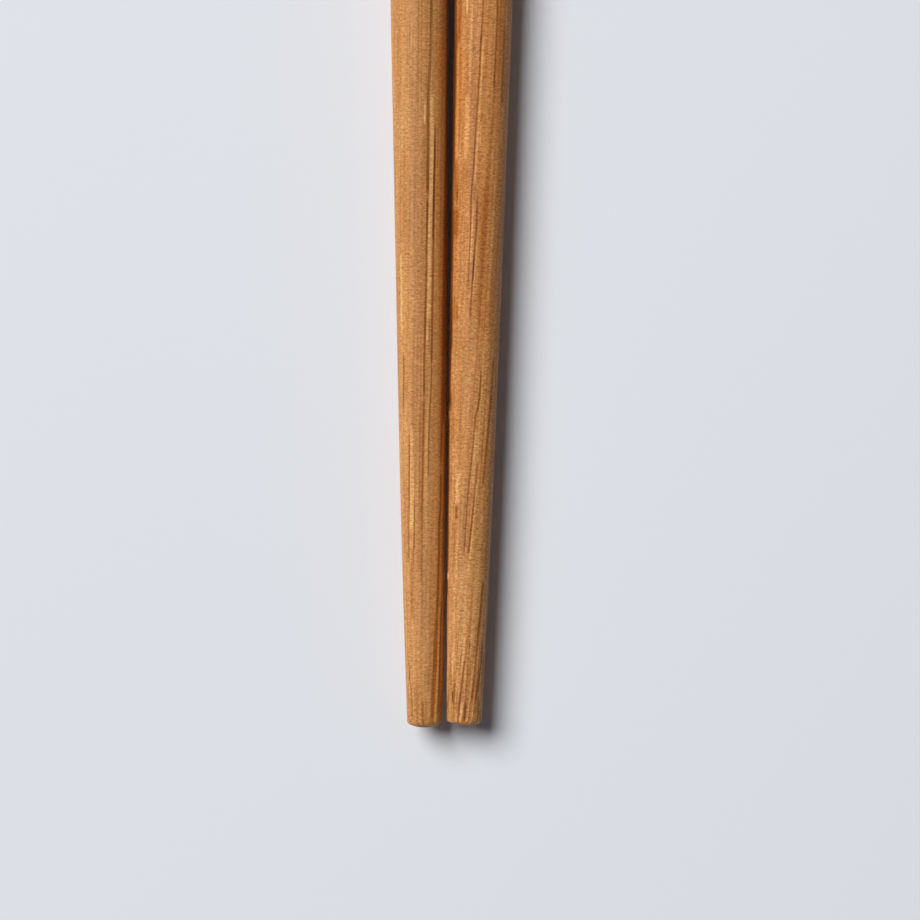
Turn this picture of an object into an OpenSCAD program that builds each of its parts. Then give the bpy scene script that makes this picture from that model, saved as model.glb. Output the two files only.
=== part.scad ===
// A pair of round bamboo chopsticks lying side by side on a flat surface.
// Millimetres. +Y runs from the tips to the handle ends, +Z is up, and the
// surface is at Z 0. X 0 lies midway between the sticks.

/* [Stick] */
// Length of one stick, from the end of its tip to the end of its handle
stick_length = 240; // [215:1:270]
// Diameter of the straight handle
handle_d = 7.4; // [6.6:0.1:8.5]
// Diameter just behind the rounded tip
tip_d = 3.85; // [3:0.05:4.4]
// Distance from the tip at which the taper, carried on straight, reaches the handle's diameter
taper_length = 120; // [100:1:140]
// Length over which the taper's far end eases into the handle
ease_length = 24; // [10:1:36]
// Length of the nose behind the tip, which narrows faster than the taper
nose_length = 40; // [30:1:60]
// Diameter where the nose meets the taper
nose_d = 5.4; // [5.1:0.1:6]

/* [Ends] */
// Radius of the blunt crown that closes the tip
tip_crown_r = 4; // [3:0.1:8]
// Radius of the edge between the tip's crown and the stick's side
tip_edge_r = 0.5; // [0.2:0.05:0.9]
// Radius of the rounded edge round the handle's flat end
handle_edge_r = 0.7; // [0.3:0.05:1.5]

/* [Pair] */
// Gap between the two sticks where they lie closest
closest_gap = 0.25; // [0.15:0.05:1.5]
// Distance from the tips to the place where the sticks lie closest
closest_at = 28; // [15:1:80]
// How far the right stick lies back from the left one
right_setback = 0.2; // [0:0.05:1]

/* [Chip] */
// How far the splinter lost from the right tip ran in from the stick's flank
chip_width = 1.3; // [0.6:0.05:1.6]
// How far it ran back along the stick
chip_depth = 0.45; // [0.3:0.05:0.7]
// How far it ran down from the stick's top
chip_height = 3; // [1:0.1:3.2]

/* [Hidden] */
$fn = 96;

bamboo_color = [0.72, 0.5, 0.29];
nose_steps = 16;
ease_steps = 6;
crown_steps = 4;
edge_steps = 5;
overrun = tip_d;

tip_r = tip_d / 2;
nose_r = nose_d / 2;
handle_r = handle_d / 2;

// The tip's crown and edge meet smoothly at this angle from the stick's axis.
crown_angle = asin((tip_r - tip_edge_r) / (tip_crown_r - tip_edge_r));
tip_head = tip_crown_r - (tip_crown_r - tip_edge_r) * cos(crown_angle);

// The radius at a distance s from the tip. The handle is level, the taper falls
// away from it at an even slope, and the nose falls further along a parabola.
ease_start = taper_length - ease_length / 2;
ease_end = taper_length + ease_length / 2;
taper_slope = (handle_r - nose_r) / (taper_length - nose_length);
nose_run = nose_length - tip_head;
nose_fall = nose_r - taper_slope * nose_run - tip_r;
function taper_run(s) = max(ease_start - s, 0) + pow(min(ease_end - s, ease_length), 2) / ease_length / 2;
function into_nose_share(s) = max(nose_length - s, 0) / nose_run;
function stick_r(s) = handle_r - taper_slope * taper_run(s) - nose_fall * pow(into_nose_share(s), 2);
function flank_slope(s) = taper_slope + 2 * nose_fall * into_nose_share(s) / nose_run;

function crown_point(a) = [tip_crown_r * sin(a), tip_crown_r * (1 - cos(a))];
function tip_edge_point(a) = [
  tip_r - tip_edge_r + tip_edge_r * sin(a),
  tip_head - tip_edge_r * cos(a)
];
function handle_edge_point(a) = [
  handle_r - handle_edge_r + handle_edge_r * cos(a),
  stick_length - handle_edge_r + handle_edge_r * sin(a)
];

half_outline = concat(
  [for (i = [0:crown_steps]) crown_point(crown_angle * i / crown_steps)],
  [for (i = [1:edge_steps - 1])
    tip_edge_point(crown_angle + (90 - crown_angle) * i / edge_steps)],
  [for (i = [0:nose_steps])
    let (s = tip_head + nose_run * i / nose_steps) [stick_r(s), s]],
  [for (i = [0:ease_steps])
    let (s = ease_start + ease_length * i / ease_steps) [stick_r(s), s]],
  [for (i = [0:edge_steps]) handle_edge_point(90 * i / edge_steps)],
  [[0, stick_length]]
);

// Where the sticks lie closest their inner flanks run parallel, so each stick
// leans by its flank's slope there and the handles spread apart.
toe_angle = atan(flank_slope(closest_at));
tip_x = closest_gap / 2 + stick_r(closest_at) * cos(toe_angle) - closest_at * sin(toe_angle);
reach = (stick_length - handle_edge_r) * cos(toe_angle)
  + (handle_r - handle_edge_r) * sin(toe_angle)
  + handle_edge_r;

module stick() {
  rotate_extrude() polygon(half_outline);
}

// The corner of the tip that split away along the fibres, on the inner flank.
module lost_splinter() {
  translate([-tip_r - overrun, -tip_r - overrun, -overrun])
    cube([chip_width + overrun, chip_height + overrun, chip_depth + overrun]);
}

// Lays an upright stick down, tip towards -Y, resting on its straight handle.
module lay(side, setback) {
  translate([side * tip_x, setback - (reach + right_setback) / 2, handle_r])
    rotate([0, 0, -side * toe_angle])
      rotate([-90, 0, 0])
        children();
}

module left_chopstick() {
  color(bamboo_color)
    lay(-1, 0) stick();
}

module right_chopstick() {
  color(bamboo_color)
    lay(1, right_setback) difference() {
      stick();
      lost_splinter();
    }
}

left_chopstick();
right_chopstick();
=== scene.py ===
from math import atan, cos, pi, radians, sin

import bmesh
import bpy
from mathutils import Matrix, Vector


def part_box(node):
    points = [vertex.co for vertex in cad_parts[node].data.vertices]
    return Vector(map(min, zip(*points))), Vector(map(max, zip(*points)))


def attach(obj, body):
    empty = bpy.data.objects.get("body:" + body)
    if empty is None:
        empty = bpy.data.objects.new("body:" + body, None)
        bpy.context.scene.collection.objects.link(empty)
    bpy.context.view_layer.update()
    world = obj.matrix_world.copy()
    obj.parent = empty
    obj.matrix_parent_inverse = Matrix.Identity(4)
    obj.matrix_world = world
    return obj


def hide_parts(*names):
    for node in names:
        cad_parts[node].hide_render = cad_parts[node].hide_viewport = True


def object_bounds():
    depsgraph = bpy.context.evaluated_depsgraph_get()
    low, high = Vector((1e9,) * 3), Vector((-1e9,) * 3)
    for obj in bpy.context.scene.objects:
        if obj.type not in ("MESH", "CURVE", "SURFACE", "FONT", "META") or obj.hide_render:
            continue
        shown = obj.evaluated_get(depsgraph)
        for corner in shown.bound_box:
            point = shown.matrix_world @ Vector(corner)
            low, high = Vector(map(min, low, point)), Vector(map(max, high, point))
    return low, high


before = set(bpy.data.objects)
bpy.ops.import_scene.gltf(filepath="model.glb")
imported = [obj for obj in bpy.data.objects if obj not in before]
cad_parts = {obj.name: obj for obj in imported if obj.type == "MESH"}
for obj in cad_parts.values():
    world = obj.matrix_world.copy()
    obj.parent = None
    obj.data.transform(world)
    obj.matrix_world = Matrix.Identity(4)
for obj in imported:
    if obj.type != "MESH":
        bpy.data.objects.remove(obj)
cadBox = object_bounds()
scene = bpy.context.scene
mm = 0.001
print("frame loaded:", sorted(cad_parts))


def mathNode(operation):  # an operator of a wire, which adds one Math node
    def act(wire, *values):
        return wire.maths(operation, wire, *values)
    return act


class Wire:  # one socket of a node tree; a sum written on it adds Math nodes
    def __init__(self, tree, socket=None):
        self.tree, self.socket = tree, socket

    def node(self, kind, settings=None, sockets=None, output=0):
        made = self.tree.nodes.new(kind)
        for name, value in (settings or {}).items():
            if name == "stops":
                fillRamp(made.color_ramp, value)
            elif name == "bends":
                fillCurve(made.mapping, value)
            else:
                setattr(made, name, value)
        for name, value in (sockets or {}).items():
            if isinstance(value, Wire):
                self.tree.links.new(value.socket, made.inputs[name])
            else:
                made.inputs[name].default_value = value
        return Wire(self.tree, made.outputs[output] if made.outputs else None)

    def other(self, output):  # another output of the same node
        return Wire(self.tree, self.socket.node.outputs[output])

    def maths(self, operation, *values):
        return self.node("ShaderNodeMath", {"operation": operation}, dict(enumerate(values)))

    __add__ = __radd__ = mathNode("ADD")
    __mul__ = __rmul__ = mathNode("MULTIPLY")
    __sub__ = mathNode("SUBTRACT")
    __truediv__ = mathNode("DIVIDE")
    __pow__ = mathNode("POWER")
    __lt__ = mathNode("LESS_THAN")
    __gt__ = mathNode("GREATER_THAN")
    sine = mathNode("SINE")
    cosine = mathNode("COSINE")
    fraction = mathNode("FRACT")
    size = mathNode("ABSOLUTE")
    least = mathNode("MAXIMUM")
    most = mathNode("MINIMUM")

    def __rsub__(self, value):
        return self.maths("SUBTRACT", value, self)

    def root(self):
        return self.maths("SQRT", self.least(0))

    def share(self):
        return self.least(0).most(1)

    def rise(self, low, high):  # 0 up to low, 1 from high on, smooth between; low may be the larger
        return self.node("ShaderNodeMapRange", {"interpolation_type": "SMOOTHSTEP"},
                         {"Value": self, "From Min": low, "From Max": high})

    def point(self, x, y, z):
        return self.node("ShaderNodeCombineXYZ", sockets={0: x, 1: y, 2: z})

    def noise(self, x, y, z, detail=1, rough=0.5, warp=0):  # about 0 to 1, centred on 0.5
        return self.node("ShaderNodeTexNoise", sockets={
            "Vector": self.point(x, y, z), "Scale": 1, "Detail": detail, "Roughness": rough,
            "Distortion": warp})

    def blend(self, factor, a, b, kind="MIX"):  # colour a at 0, at 1 colour b or a times b
        return self.node("ShaderNodeMix", {"data_type": "RGBA", "blend_type": kind},
                         {0: factor, 6: a, 7: b}, 2)


def fillRamp(ramp, stops):
    while len(ramp.elements) < len(stops):
        ramp.elements.new(1)
    for element, (position, value) in zip(ramp.elements, stops):
        element.position, element.color = position, value


def fillCurve(mapping, places):
    line = mapping.curves[0]
    while len(line.points) < len(places):
        line.points.new(0.5, 0.5)
    for point, place in zip(line.points, sorted(places)):
        point.location = place
    mapping.update()


def shade(red, green, blue):  # a screen colour, 0 to 255, as linear light
    def channel(value):
        value /= 255
        return value / 12.92 if value <= 0.04045 else ((value + 0.055) / 1.055) ** 2.4
    return (channel(red), channel(green), channel(blue), 1)


# Both sticks, in millimetres, as in the part's source. The groove and pit pairs
# are the noise levels where a groove or a pit begins and where it is deepest, and
# the torn values how the splinter's broken edge wanders
stick = {
    "length": 240, "handleRadius": 3.7, "taperLength": 120, "easeLength": 24,
    "noseLength": 40, "noseRadius": 2.7, "tipRadius": 1.925,
    "crownRadius": 4, "tipEdge": 0.5, "handleEdge": 0.7,
    "closestGap": 0.25, "closestAt": 28,
    "chipWidth": 1.3, "chipDepth": 0.45, "chipHeight": 3,
    "tornScale": 3, "tornDetail": 2, "tornWidth": 0.25, "tornDepth": 0.25, "tornHeight": 0.4,
    "sides": 180, "tipRows": 28, "sideRows": 460, "edgeRows": 8, "faceRows": 10,
    "grooveDepth": 0.016, "fineGroove": (0.5, 0.25), "broadGroove": (0.5, 0.3), "broadShare": 0.3,
    "endPit": (0.5, 0.3), "weldDistance": 0.0002,
}


def layOut():  # how the sticks lean together, and where their tips lie
    crown, edge = stick["crownRadius"], stick["tipEdge"]
    head = crown - ((crown - edge) ** 2 - (stick["tipRadius"] - edge) ** 2) ** 0.5
    slope = (stick["handleRadius"] - stick["noseRadius"]) / (stick["taperLength"] - stick["noseLength"])
    run = stick["noseLength"] - head
    fall = stick["noseRadius"] - slope * run - stick["tipRadius"]
    back = stick["noseLength"] - stick["closestAt"]
    radius = stick["noseRadius"] - slope * back - fall * (back / run) ** 2
    toe = atan(slope + 2 * fall * back / run ** 2)
    return toe, stick["closestGap"] / 2 + radius * cos(toe) - stick["closestAt"] * sin(toe)


toe, tipX = layOut()

# Where each stick lies, and how its fibres run: lean is their sideways drift for
# each millimetre along the stick, drift an offset that gives each its own grain.
# A streak of the upper side is its half width, its change of tone, its warmth and
# the places that it runs through, in millimetres from the tip and from the middle.
# Most are marks of the grain; a few are painted shade and painted light by the gap, noted at them
sticks = {
    "left_chopstick": {
        "side": -1, "lean": 0.022, "drift": 11.3, "chip": 0, "endPitDepth": 0.03,
        "tone": 0.485, "warmth": 0.04, "grain": 0.98, "hair": 0.2, "flame": 0.3,
        "streaks": (
            (0.15, -0.33, 0.1, (83.5, 1.4), (80, 1.35), (73.5, 1.15), (69, 0.95), (64.5, 0.85), (58, 0.75)),
            (0.11, -0.35, 0.1, (58.5, 0.75), (48, 0.5), (43, 0.35), (39.5, 0.25), (36, 0.25)),
            (0.11, -0.21, 0.1, (36.5, 0.25), (27, 0), (20, -0.15), (15.5, -0.25)),
            (0.17, 0.43, 0.3, (70, 1.35), (64, 1.3), (53.5, 1), (44.5, 0.8)),
            (0.09, 0.25, 0, (44.5, 0.65), (42, 0.6)),
            (0.11, -0.26, 0.1, (66.5, 1.65), (57.5, 1.45), (48, 1.25), (40, 1.05)),
            (0.09, -0.21, 0.1, (65, 1.6), (61, 1.5), (53, 1.35)),
            (0.11, 0.15, 0.3, (41.5, 0.8), (36.5, 0.75), (34.5, 0.6), (27, 0.3), (24.5, 0.2)),
            (0.08, -0.19, 0.1, (41.5, 1.05), (37, 1), (35, 0.85), (27, 0.6)),
            (0.11, 0.24, 0, (52.5, -2.2), (48.5, -2.2), (43, -2.15)),
            (0.1, -0.22, 0.1, (41.5, -2), (38.5, -2), (34.5, -2.1)),
            (0.12, 0.07, 0.2, (41.5, -2.25), (37, -2.2)),
            (0.19, 0.31, 0, (33.5, -1.15), (26, -1.2), (23, -1.2), (21, -1.3)),
            (0.11, -0.2, 0.2, (33, -1.35), (26, -1.5), (18, -1.6)),
            (0.09, -0.32, 0.1, (25.5, -0.95), (21.5, -0.95), (19, -1.05)),
            (0.15, -0.2, 0.1, (20, -1.05), (17.5, -1.2), (11.5, -1.25)),
            (0.12, -0.28, 0.2, (28.5, 2), (24, 1.95), (23, 1.8), (18.5, 1.7), (12, 1.4)),
            (0.19, -0.26, 0.4, (13, 1.45), (8.5, 1.25), (4, 1), (0, 0.85)),
            # painted shade by the gap, partly a real darker band of fibres: a darker, warmer band along the
            # right edge
            (0.22, -0.23, 0.5, (83.5, 3.25), (80, 3.2), (69, 3.05), (58, 2.75), (47, 2.45),
             (36, 2.25), (28.5, 2.05)),
            (0.1, 0.35, 0.5, (34, 2.35), (27, 2.15), (17, 1.9), (13.5, 1.8)),
            (0.11, 0.53, 1.4, (14, 1.8), (8.5, 1.6), (4.5, 1.4), (0, 1.15)),
            (0.07, -0.27, 0.3, (14, 1.9), (6.5, 1.7), (3, 1.55), (1, 1.4)),
            (0.09, 0.14, 0.7, (12, 2.05), (4, 1.9)),
            (0.06, -0.19, 0.1, (8.5, -1.7), (6, -1.6), (4, -1.4), (0.5, -1.25)),
            (0.28, 0.07, 0, (4.5, 0.45), (0.5, 0.45)),
            (0.13, -0.28, 0.1, (3.5, -0.15), (0, -0.15)),
            (0.1, 0.42, 0, (69, 0.6), (66, 0.5)),
            (0.1, 0.06, 0.4, (76, 2.35), (69, 2.2)),
            (0.18, -0.06, 0, (78.5, 2.05), (70.5, 1.95)),
            (0.66, 0.07, 0, (83.5, -1.75), (59.5, -1.8)),
            (0.55, -0.05, 0, (41, -1.45), (22.5, -1.35)),
            (0.66, 0.07, 0, (19.5, -1.3), (3, -1.2)),
            (0.28, -0.06, 0.2, (37.5, 0.05), (21.5, -0.2)),
            # painted light: a broad lighter, warmer band on the right flank, away from the lamp, for light
            # thrown back by the right stick
            (0.68, 0.14, 0.6, (83.5, 2.6), (47, 2.05), (25, 1.75), (0, 1.5)),
        ),
    },
    "right_chopstick": {
        "side": 1, "lean": 0.040, "drift": 47.9, "chip": 1, "endPitDepth": 0.12,
        "tone": 0.455, "warmth": 0.3, "grain": 1.14, "hair": 0.28, "flame": 0.9,
        "streaks": (
            # painted shade: darker bands along the left edge, where the left stick shades it across the gap
            (0.22, -0.47, 0.3, (83.5, -3.2), (58, -2.9), (34, -2.55)),
            (0.11, -0.42, 0.3, (34.5, -2.6), (14, -2.25)),
            (0.17, -0.11, 0.6, (83.5, -2.6), (74.5, -2.55)),
            (0.1, 0.22, 0.3, (75.5, -2.65), (62, -2.5)),
            (0.13, -0.04, 0.5, (75, -2.35), (62.5, -2.25)),
            (0.18, -0.15, 0.6, (62.5, -2.4), (57, -2.35)),
            (0.07, -0.19, 0.3, (59.5, -2.35), (57, -2.3)),
            (0.24, -0.21, 0.6, (57.5, -2.4), (53, -2.35)),
            (0.14, 0.07, 0.5, (53.5, -2.25), (48, -2.15)),
            (0.17, -0.08, 0.7, (47.5, -2.3), (44, -2.25)),
            (0.08, -0.19, 0.6, (46.5, -2), (44.5, -1.95)),
            (0.08, 0.28, 0.2, (42, -2.45), (36, -2.4)),
            (0.13, -0.13, 0.3, (38, -2.1), (30.5, -2.1)),
            (0.99, -0.09, 0.1, (62.5, 1), (40.5, 0.9)),
            (0.88, 0.1, 0, (19, -1.15), (4, -1)),
            (0.61, 0.08, 0.1, (20, 1.35), (0.5, 1.05)),
            (0.44, 0.07, 0.1, (41.5, 2), (18.5, 1.7)),
            (0.44, 0.08, 0, (60.5, -1.35), (41.5, -1.25)),
            (0.28, 0.07, 0, (41, -1.95), (21.5, -1.7)),
            (0.1, 0.39, 0, (82.5, -1.8), (77.5, -1.8)),
            (0.09, 0.17, 0, (79.5, -1.25), (75.5, -1.3), (70, -1.3)),
            (0.24, 0.38, 0, (70, -1.45), (66.5, -1.45), (61, -1.5)),
            (0.08, -0.15, 0.3, (83.5, 0.05), (80, -0.05), (74.5, -0.2)),
            (0.06, 0.17, 0.1, (83.5, 0.2), (76, 0.15)),
            (0.08, -0.24, 0.3, (76.5, -0.2), (72, -0.25), (65, -0.5), (61, -0.6), (58.5, -0.75),
             (55.5, -0.75), (48, -0.9)),
            (0.1, 0.31, 0.1, (76, 0.1), (69, -0.1), (62.5, -0.3), (59, -0.45)),
            (0.08, 0.27, 0.1, (66.5, 0.05), (63, 0.05)),
            (0.1, -0.23, 0.1, (58.5, -0.1), (55.5, -0.1), (51, -0.3), (45.5, -0.55), (44.5, -0.6)),
            (0.08, -0.19, 0.3, (52, -0.25), (48.5, -0.35)),
            (0.09, 0.31, 0, (58, -0.45), (53, -0.6), (50.5, -0.65)),
            (0.08, 0.17, 0.1, (53.5, 0), (49.5, -0.15), (46.5, -0.3)),
            (0.1, -0.23, 0.3, (83.5, 1.55), (78, 1.5), (69.5, 1.35)),
            (0.06, 0.25, 0.1, (82.5, 1.3), (75.5, 1.25)),
            (0.11, 0, 0.6, (83.5, 1.9), (70, 1.8)),
            (0.2, -0.16, 0.1, (77.5, 2.4), (67.5, 2.35)),
            (0.11, -0.3, 0.1, (39.5, 0.85), (36.5, 0.75), (35, 0.55), (34, 0.4)),
            (0.09, -0.24, 0.2, (35, 0.4), (30, 0.1), (26.5, -0.2), (18.5, -0.55)),
            (0.19, 0.2, 0, (33.5, 0.45), (28, 0.25), (25.5, 0.05)),
            (0.11, -0.33, 0.3, (29.5, 0.65), (27, 0.55), (22.5, 0.25), (18.5, -0.1)),
            (0.07, 0.22, 0, (27.5, 0.7), (22, 0.4), (17.5, 0.05), (16.5, -0.1)),
            (0.12, -0.32, 0.3, (41, 2.15), (35, 1.9), (28, 1.45), (26, 1.35)),
            (0.13, 0.07, 0.3, (37, 1.65), (27, 1.25)),
            (0.33, 0.04, 0, (36.5, -1), (31, -1.15)),
            (0.3, 0.04, 0, (31, -1), (26.5, -1.15)),
            (0.22, 0.25, 0, (28.5, -1.4), (24, -1.4)),
            (0.11, -0.28, 0.5, (24.5, -1.5), (22.5, -1.45)),
            (0.1, 0.14, 0, (22, -1.25), (16, -1.3)),
            (0.07, 0.63, 0, (17, -2.2), (16, -2.2)),
            (0.1, 0, 0.5, (26, 1.45), (23.5, 1.4)),
            (0.13, -0.25, 0.3, (16.5, 1.7), (13, 1.5), (6.5, 1.05), (2.5, 0.75)),
            (0.08, 0.04, 0.6, (11.5, 1.55), (4, 1.2)),
            (0.1, -0.23, 0.1, (10, 1.8), (6.5, 1.65), (4, 1.3), (2.5, 1.15)),
            (0.07, 0.17, 0.2, (4.5, 1.1), (0.5, 0.8)),
            (0.08, -0.13, 0.1, (12, 0.15), (8.5, 0.05)),
            (0.08, -0.36, 0.2, (9.5, 0.4), (8.5, 0.4)),
            (0.08, -0.21, 0.1, (8, -0.15), (4, -0.4), (3, -0.5), (0.5, -0.6)),
            (0.1, 0.25, 0.1, (7, 0.05), (3.5, -0.2)),
            (0.07, 0.28, 0, (3, -0.35), (0.5, -0.4)),
            (0.09, -0.32, 0.2, (4, -1.4), (2.5, -1.3)),
            (0.11, -0.23, 0.1, (3, 0.05), (0.5, 0)),
            (0.06, -0.29, 0.1, (3, 1.65), (0.5, 1.55)),
        ),
    },
}
for name, own in sticks.items():
    low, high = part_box(name)
    own["tip"] = (own["side"] * tipX * mm, low.y, (low.z + high.z) / 2)

# How often each figure of the fibres changes in a millimetre, across and along
figures = {
    "broad": (0.9, 0.006), "fine": (3.2, 0.018), "hair": (6, 0.06), "flame": (4.4, 0.12),
    "flow": (0.55, 0.0025), "shown": (1.2, 0.03), "grain": (2.8, 6.4), "hue": (0.8, 0.09),
}


def figure(wire, kind, x, s, z, drift, rough=0.5, warp=0):  # noise drawn out along the fibres
    across, along = figures[kind]
    return wire.noise(x * across + drift, s * along, z * across, 1, rough, warp)


def strandField(wire, x, s, z, drift):  # the fibre bundles, dense sheath at 0, soft core at 1
    fields = []
    for kind in ("broad", "fine"):
        across, along = figures[kind]
        fields.append(wire.noise(x * across + drift, s * along + drift, z * across))
    return fields


def buildStickTree():
    tree = bpy.data.node_groups.new("turnedStick", "GeometryNodeTree")
    tree.interface.new_socket("Stick", in_out="OUTPUT", socket_type="NodeSocketGeometry")
    wholes = ("sides", "tipRows", "sideRows", "edgeRows", "faceRows")
    lengths = ("length", "handleRadius", "taperLength", "easeLength", "noseLength", "noseRadius",
               "tipRadius", "crownRadius", "tipEdge", "handleEdge", "chipWidth", "chipDepth",
               "chipHeight", "grooveDepth", "endPitDepth", "lean", "drift", "chip", "turn",
               "placeX", "placeY", "placeZ")
    for label in wholes:
        tree.interface.new_socket(label, in_out="INPUT", socket_type="NodeSocketInt")
    for label in lengths:
        tree.interface.new_socket(label, in_out="INPUT", socket_type="NodeSocketFloat")
    tree.interface.new_socket("bamboo", in_out="INPUT", socket_type="NodeSocketMaterial")
    wire = Wire(tree)
    given = wire.node("NodeGroupInput")
    put = {label: given.other(label) for label in wholes + lengths + ("bamboo",)}

    # A flat grid, one turn wide, whose rows run from the tip's middle to the handle's
    rows = put["tipRows"] + put["sideRows"] + put["edgeRows"] + put["faceRows"]
    grid = wire.node("GeometryNodeMeshGrid", sockets={
        "Size X": 1, "Size Y": rows, "Vertices X": put["sides"] + 1, "Vertices Y": rows + 1})
    spot = wire.node("ShaderNodeSeparateXYZ", sockets={0: wire.node("GeometryNodeInputPosition")})
    angle = (spot + 0.5) * (2 * pi)
    row = spot.other("Y") + rows * 0.5

    onTip = (row / put["tipRows"]).share()
    past = row - put["tipRows"]
    onSide = (past / put["sideRows"]).share()
    past = past - put["sideRows"]
    onEdge = (past / put["edgeRows"]).share()
    onFace = ((past - put["edgeRows"]) / put["faceRows"]).share()

    # How far each row lies from the tip, and its radius there
    head = put["crownRadius"] - ((put["crownRadius"] - put["tipEdge"]) ** 2
                                 - (put["tipRadius"] - put["tipEdge"]) ** 2).root()
    crownRise = put["crownRadius"] * (head - put["tipEdge"]) / (put["crownRadius"] - put["tipEdge"])
    s = (head * (1 - (onTip * (pi / 2)).cosine())
         + onSide * (put["length"] - put["handleEdge"] - head)
         + put["handleEdge"] * (onEdge * (pi / 2)).sine())
    crown = (s * (2 * put["crownRadius"] - s)).root()
    edge = put["tipRadius"] - put["tipEdge"] + (put["tipEdge"] ** 2 - (head - s) ** 2).root()
    slope = (put["handleRadius"] - put["noseRadius"]) / (put["taperLength"] - put["noseLength"])
    noseRun = put["noseLength"] - head
    noseFall = put["noseRadius"] - slope * noseRun - put["tipRadius"]
    before = (put["taperLength"] + put["easeLength"] * 0.5 - s).least(0)  # ahead of the level handle
    eased = before.most(put["easeLength"])
    taper = eased * eased / put["easeLength"] * 0.5 + (before - put["easeLength"]).least(0)
    nose = (put["noseLength"] - s).least(0) / noseRun
    side = (put["handleRadius"] - slope * taper - noseFall * nose * nose
            - put["handleEdge"] * (1 - (onEdge * (pi / 2)).cosine()))
    inCrown = s < crownRise
    inTip = onTip < 0.9999  # the tip's last row belongs to the side
    tip = inCrown * crown + (1 - inCrown) * edge
    radius = (inTip * tip + (1 - inTip) * side) * (1 - onFace)

    # Grooves along the fibres, and pits in the end grain
    x, z = radius * angle.cosine(), radius * angle.sine()
    broad, fine = strandField(wire, x - put["lean"] * s, s, z, put["drift"])
    groove = (fine.rise(*stick["fineGroove"]) * (1 - stick["broadShare"])
              + broad.rise(*stick["broadGroove"]) * stick["broadShare"]) * put["grooveDepth"]
    radius = radius - groove * onTip * (1 - onFace) * (1 - onEdge)
    pits = fine.rise(*stick["endPit"]) * put["endPitDepth"]
    s = s + pits * (1 - onTip) - pits * onFace

    # The corner that a splinter left, with a ragged edge
    x, z = radius * angle.cosine(), radius * angle.sine()
    tornScale = stick["tornScale"]
    torn = wire.noise(x * tornScale, put["drift"], z * tornScale, stick["tornDetail"]) - 0.5
    inChip = ((x < put["chipWidth"] - put["tipRadius"] + torn * stick["tornWidth"])
              * (z > put["tipRadius"] - put["chipHeight"] + torn * stick["tornHeight"])
              * put["chip"])
    s = s.least(inChip * (put["chipDepth"] + torn * stick["tornDepth"]))

    laid = wire.node("ShaderNodeVectorRotate", {"rotation_type": "Z_AXIS"},
                     {"Vector": wire.point(x, s, z), "Angle": put["turn"]})
    small = wire.node("ShaderNodeVectorMath", {"operation": "SCALE"}, {0: laid, "Scale": mm})
    place = wire.point(put["placeX"], put["placeY"], put["placeZ"])
    final = wire.node("ShaderNodeVectorMath", {"operation": "ADD"}, {0: small, 1: place})
    shaped = wire.node("GeometryNodeSetPosition", sockets={"Geometry": grid, "Position": final})
    closed = wire.node("GeometryNodeMergeByDistance", sockets={
        "Geometry": shaped, "Distance": stick["weldDistance"] * mm})
    smooth = wire.node("GeometryNodeSetShadeSmooth", sockets={"Geometry": closed})
    whole = wire.node("GeometryNodeRealizeInstances", sockets={"Geometry": smooth})
    dressed = wire.node("GeometryNodeSetMaterial", sockets={"Geometry": whole, "Material": put["bamboo"]})
    wire.node("NodeGroupOutput", sockets={0: dressed})
    return tree


# The bamboo's colours, how strongly each kind of mark shows, and where it shows.
# A pair of numbers is where a mark is still absent and where it is full: in
# millimetres for Span, Side, Start, Stop and Face, in half widths for lineEdge,
# and as noise for bundleEdge and Levels. wearRates is across and along, as above
bamboo = {
    "shades": ((0.0, shade(102, 56, 20)), (0.25, shade(158, 100, 50)), (0.5, shade(202, 144, 87)),
               (0.75, shade(226, 175, 113)), (1.0, shade(249, 209, 151))),
    "ends": ((0.0, shade(110, 62, 28)), (0.5, shade(172, 108, 58)), (1.0, shade(215, 150, 90))),
    "warm": (1.0, 0.72, 0.4, 1),
    "grainDark": (0.58, 0.48, 0.35, 1), "grainLight": (1.42, 1.52, 1.65, 1),
    "broad": 0.3, "fine": 0.3, "grain": 1.5, "hue": 0.45, "strand": 0.7, "rimWearAndHighlight": 0.12,
    "grainRough": 0.6, "grainWarp": 0.7,
    "roughness": 0.5, "roughSpread": 0.2, "specular": 0.12, "matte": 0.45,
    "bump": 0.3, "bumpDepth": 0.02, "fineBump": 0.5,
    # the part of the upper side that holds the listed streaks
    "streakLength": 90, "streakWidth": 7, "streakEase": 12, "upperSide": (-0.8, 0.4), "plainLoss": 0.7,
    "fadeShare": 0.25, "fadeLeast": 0.012, "fadeWidths": 0.6, "lineEdge": (1.6, 0.4),
    "wander": 0.012, "wanderRate": 0.2, "wanderSlice": 0.5,
    "wear": 0.3, "wearRates": (1.5, 0.1), "wearSlice": 2.5, "wearLevels": (0.25, 0.6),
    # dark fibres with a pale side, over the whole stick
    "strandTurns": 7, "strandLevels": (0.4, 0.62),
    "strandProfile": ((0, 0.3), (0.1, 0.28), (0.2, 0.62), (0.6, 0.5), (1, 0.5)),
    # the tip, the lighter band round the tip's edge, which is a painted highlight and partly a paler worn
    # edge, and the cut ends
    "flameSpan": (16, 4), "flameLean": 2.3, "warmSpan": (8, 60),
    "rimWearAndHighlightStart": (0.2, 0.3), "rimWearAndHighlightStop": (0.6, 0.35), "tipFace": (0.3, 0.18), "handleFace": (0.25, 0.05),
    "bundleScale": 1.7, "bundleEdge": (0.15, 0.4), "bundle": 0.45,
    "pithScale": 4.5, "pith": 0.7, "endTone": 0.2,
}


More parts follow.
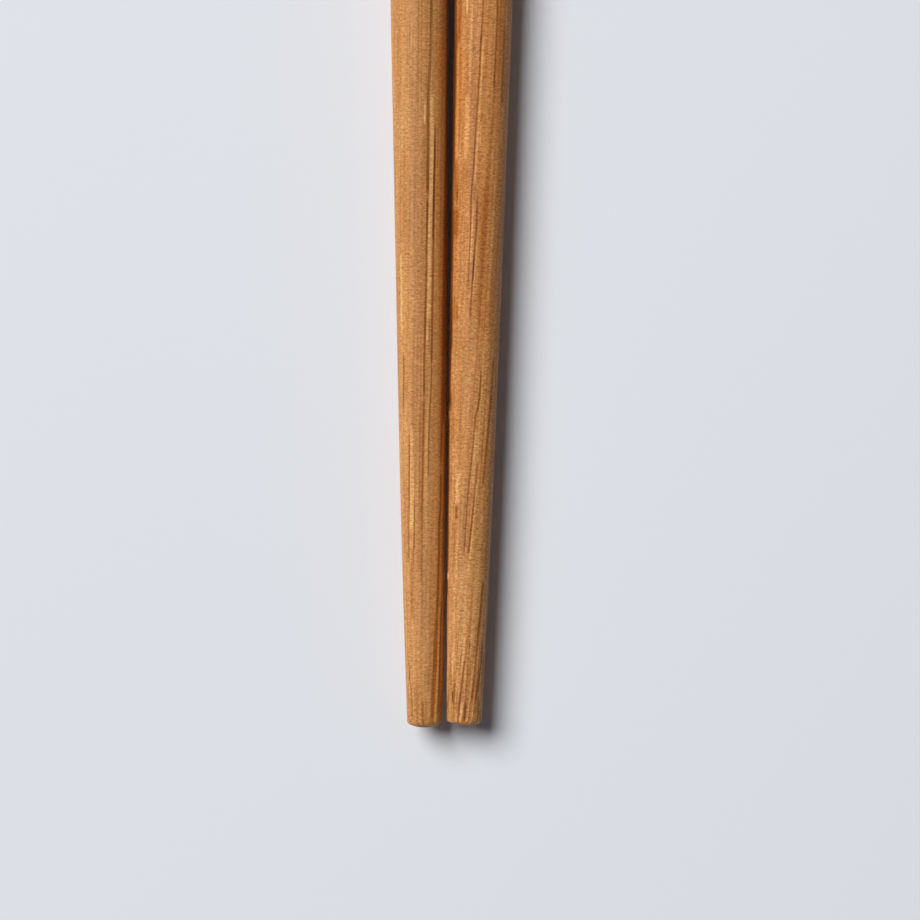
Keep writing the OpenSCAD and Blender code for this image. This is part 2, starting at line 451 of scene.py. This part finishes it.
def drawStreaks(wire, own, x, s, z):  # as changes of tone and warmth
    down = s / bamboo["streakLength"]
    across = x / bamboo["streakWidth"] + 0.5
    sway = wire.noise(own["drift"], s * bamboo["wanderRate"], bamboo["wanderSlice"], 0) - 0.5
    across = across + sway * bamboo["wander"]
    outer, inner = bamboo["lineEdge"]
    tone = warmth = z * 0
    for half, change, glow, *places in own["streaks"]:
        half = half / bamboo["streakWidth"]
        bends = [(far / bamboo["streakLength"], aside / bamboo["streakWidth"] + 0.5)
                 for far, aside in places]
        path = wire.node("ShaderNodeFloatCurve", {"bends": bends}, {"Value": down})
        start, end = min(bends)[0], max(bends)[0]
        fade = max(bamboo["fadeLeast"], half * bamboo["fadeWidths"])
        fade = min(bamboo["fadeShare"] * (end - start), fade)
        line = (across - path).size().rise(half * outer, half * inner)
        line = line * down.rise(start, start + fade) * down.rise(end, end - fade)
        tone = tone + line * change
        if glow:
            warmth = warmth + line * glow
    wearAcross, wearAlong = bamboo["wearRates"]
    worn = wire.noise(x * wearAcross, s * wearAlong + own["drift"], bamboo["wearSlice"])
    worn = worn.rise(*bamboo["wearLevels"]) * bamboo["wear"] + (1 - bamboo["wear"])
    upper = z.rise(*bamboo["upperSide"]) * worn
    return tone * upper, warmth * upper


def drawStrands(wire, along, s, z, drift):
    flow = figure(wire, "flow", along, s, z, drift) * bamboo["strandTurns"]
    profile = wire.node("ShaderNodeFloatCurve", {"bends": bamboo["strandProfile"]},
                        {"Value": flow.fraction()})
    shown = figure(wire, "shown", along, s, z, drift).rise(*bamboo["strandLevels"])
    return (profile - 0.5) * shown


def drawEnds(wire, x, z, drift):  # cut fibre bundles in softer pith
    scale = bamboo["bundleScale"]
    spread = wire.point(x * scale, drift, z * scale)
    bundles = wire.node("ShaderNodeTexVoronoi", sockets={"Vector": spread, "Scale": 1})
    scale = bamboo["pithScale"]
    pith = wire.noise(x * scale, drift, z * scale) - 0.5
    tone = bamboo["endTone"] + bundles.rise(*bamboo["bundleEdge"]) * bamboo["bundle"] + pith * bamboo["pith"]
    return wire.node("ShaderNodeValToRGB", {"stops": bamboo["ends"]}, {"Fac": tone})


def makeBamboo(name, own):
    material = bpy.data.materials.new(name)
    material.use_nodes = True
    tree = material.node_tree
    tree.nodes.clear()
    wire = Wire(tree)
    place = wire.node("ShaderNodeTexCoord", output="Object")
    local = wire.node("ShaderNodeMapping", {"vector_type": "TEXTURE"}, {
        "Vector": place, "Location": own["tip"], "Rotation": (0, 0, -own["side"] * toe),
        "Scale": (mm, mm, mm)})
    x = wire.node("ShaderNodeSeparateXYZ", sockets={0: local})  # in millimetres from the tip
    s, z = x.other("Y"), x.other("Z")
    drift = own["drift"]
    along = x - own["lean"] * s

    broad, fine = strandField(wire, along, s, z, drift)
    hair = figure(wire, "hair", along, s, z, drift)
    flame = figure(wire, "flame", x - own["lean"] * bamboo["flameLean"] * s, s, z, drift) - 0.5
    flame = flame * s.rise(*bamboo["flameSpan"]) * own["flame"]
    # a lighter band round the tip's edge: a painted highlight, partly a paler worn edge
    rimWearAndHighlight = s.rise(*bamboo["rimWearAndHighlightStart"]) * s.rise(*bamboo["rimWearAndHighlightStop"])
    streaks, warmth = drawStreaks(wire, own, x, s, z)
    byHand = s.rise(bamboo["streakLength"], bamboo["streakLength"] - bamboo["streakEase"])
    plain = 1 - z.rise(*bamboo["upperSide"]) * byHand * bamboo["plainLoss"]
    strands = drawStrands(wire, along, s, z, drift) * plain
    tone = (own["tone"] + (broad - 0.5) * bamboo["broad"] + (fine - 0.5) * bamboo["fine"]
            + (hair - 0.5) * own["hair"] + flame + rimWearAndHighlight * bamboo["rimWearAndHighlight"]
            + strands * bamboo["strand"] + streaks)
    ground = wire.node("ShaderNodeValToRGB", {"stops": bamboo["shades"]}, {"Fac": tone})

    hue = figure(wire, "hue", x, s, z, drift) - 0.5
    warmth = warmth + hue * bamboo["hue"] + own["warmth"] * s.rise(*bamboo["warmSpan"])
    ground = wire.blend(warmth.share(), ground, bamboo["warm"], "MULTIPLY")
    grain = figure(wire, "grain", x, s, z, drift, bamboo["grainRough"], bamboo["grainWarp"])
    speckle = 0.5 + (grain - 0.5) * (bamboo["grain"] * own["grain"])
    speck = wire.blend(speckle, bamboo["grainDark"], bamboo["grainLight"])
    ground = wire.blend(1, ground, speck, "MULTIPLY")

    farFace = [stick["length"] - inward for inward in bamboo["handleFace"]]
    onEnd = (s.rise(*bamboo["tipFace"]) + s.rise(*farFace)).share()
    ground = wire.blend(onEnd, ground, drawEnds(wire, x, z, drift))
    bump = wire.node("ShaderNodeBump", sockets={
        "Strength": bamboo["bump"], "Distance": bamboo["bumpDepth"] * mm,
        "Height": grain + fine * bamboo["fineBump"]})
    skin = wire.node("ShaderNodeBsdfPrincipled", sockets={
        "Base Color": ground, "Normal": bump,
        "Roughness": bamboo["roughness"] + (0.5 - fine) * bamboo["roughSpread"],
        "Specular IOR Level": bamboo["specular"], "Diffuse Roughness": bamboo["matte"]})
    wire.node("ShaderNodeOutputMaterial", sockets={"Surface": skin})
    return material


def makeStick(name, own, tree):
    material = makeBamboo(name + "_bamboo", own)
    maker = bpy.data.objects.new(name + "_maker", bpy.data.meshes.new(name + "_maker"))
    scene.collection.objects.link(maker)
    modifier = maker.modifiers.new("turn", "NODES")
    modifier.node_group = tree
    values = dict(stick, turn=-own["side"] * toe, bamboo=material,
                  placeX=own["tip"][0], placeY=own["tip"][1], placeZ=own["tip"][2])
    for label in ("lean", "drift", "chip", "endPitDepth"):
        values[label] = own[label]
    for item in tree.interface.items_tree:
        if item.in_out == "INPUT":
            value = values[item.name]
            modifier[item.identifier] = float(value) if item.socket_type == "NodeSocketFloat" else value
    graph = bpy.context.evaluated_depsgraph_get()
    mesh = bpy.data.meshes.new_from_object(maker.evaluated_get(graph), depsgraph=graph)
    maker.modifiers.remove(modifier)
    bpy.data.objects.remove(maker)
    mesh.name = name + "_turned"
    work = bmesh.new()
    work.from_mesh(mesh)
    bmesh.ops.recalc_face_normals(work, faces=work.faces)  # outwards
    work.to_mesh(mesh)
    work.free()
    piece = bpy.data.objects.new(name + "_turned", mesh)
    scene.collection.objects.link(piece)
    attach(piece, "root")
    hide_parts(name)
    print(piece.name, "faces:", len(mesh.polygons))


stickTree = buildStickTree()
for name, own in sticks.items():
    makeStick(name, own, stickTree)
print("sticks made")


# Pale floor, one soft lamp from the upper left and dim, slightly cool surroundings.
# The lamp's way is how it lies from the middle of the view
studio = {
    "floorShade": shade(232, 235, 240), "floorHalf": 3.0, "floorRoughness": 0.9, "floorSpecular": 0.2,
    "lampWay": (-0.61, 0.48, 1.0), "lampDistance": 2.6, "lampSize": 1.7, "lampPower": 76,
    "surround": 0.068, "surroundColour": (0.92, 1.0, 1.15, 1),
    "backdrop": 0.85, "backdropColour": (1, 1, 1, 1),
}


def makeFloor():
    mesh = bpy.data.meshes.new("pale_floor")
    half = studio["floorHalf"]
    corners = [(-half, -half, 0), (half, -half, 0), (half, half, 0), (-half, half, 0)]
    mesh.from_pydata(corners, [], [(0, 1, 2, 3)])
    floor = bpy.data.objects.new("pale_floor", mesh)
    scene.collection.objects.link(floor)
    material = bpy.data.materials.new("pale_matte")
    material.use_nodes = True
    surface = material.node_tree.nodes["Principled BSDF"]
    surface.inputs["Base Color"].default_value = studio["floorShade"]
    surface.inputs["Roughness"].default_value = studio["floorRoughness"]
    surface.inputs["Specular IOR Level"].default_value = studio["floorSpecular"]
    mesh.materials.append(material)


def makeLight(target):
    lamp = bpy.data.lights.new("soft_lamp", "AREA")
    lamp.shape, lamp.size, lamp.energy = "DISK", studio["lampSize"], studio["lampPower"]
    holder = bpy.data.objects.new("soft_lamp", lamp)
    scene.collection.objects.link(holder)
    way = Vector(studio["lampWay"]).normalized()
    holder.location = target + way * studio["lampDistance"]
    holder.rotation_euler = way.to_track_quat("Z", "Y").to_euler()
    world = bpy.data.worlds.new("surroundings")
    world.use_nodes = True
    world.node_tree.nodes.clear()
    wire = Wire(world.node_tree)
    path = wire.node("ShaderNodeLightPath", output="Is Camera Ray")
    seen = path.least(path.other("Is Glossy Ray")).least(path.other("Is Transmission Ray"))
    sky = wire.node("ShaderNodeBackground", sockets={
        "Color": wire.blend(seen, studio["surroundColour"], studio["backdropColour"]),
        "Strength": studio["surround"] + seen * (studio["backdrop"] - studio["surround"])})
    wire.node("ShaderNodeOutputWorld", sockets={"Surface": sky})
    scene.world = world


# The photograph's frame: straight down on the tips, turned a little. In millimetres
# at the height of the handles' middle, and roll in degrees
view = {
    "frameWidth": 101.3, "fromTip": 29.48, "fromMiddle": 1.44, "roll": 0.575,
    "lens": 150, "sensor": 36, "clipStart": 10, "clipEnd": 20000,
}


def makeCamera():
    lens = bpy.data.cameras.new("photo_camera")
    lens.lens, lens.sensor_width, lens.sensor_fit = view["lens"], view["sensor"], "HORIZONTAL"
    lens.clip_start, lens.clip_end = view["clipStart"] * mm, view["clipEnd"] * mm
    camera = bpy.data.objects.new("photo_camera", lens)
    scene.collection.objects.link(camera)
    height = view["frameWidth"] * mm * view["lens"] / view["sensor"]
    tipY = cadBox[0][1]
    camera.location = (view["fromMiddle"] * mm, tipY + view["fromTip"] * mm,
                       stick["handleRadius"] * mm + height)
    camera.rotation_euler = (0, 0, radians(view["roll"]))
    scene.camera = camera
    return camera


makeFloor()
camera = makeCamera()
makeLight(Vector((camera.location.x, camera.location.y, 0)))
scene.view_settings.view_transform = "Standard"
print("studio set")
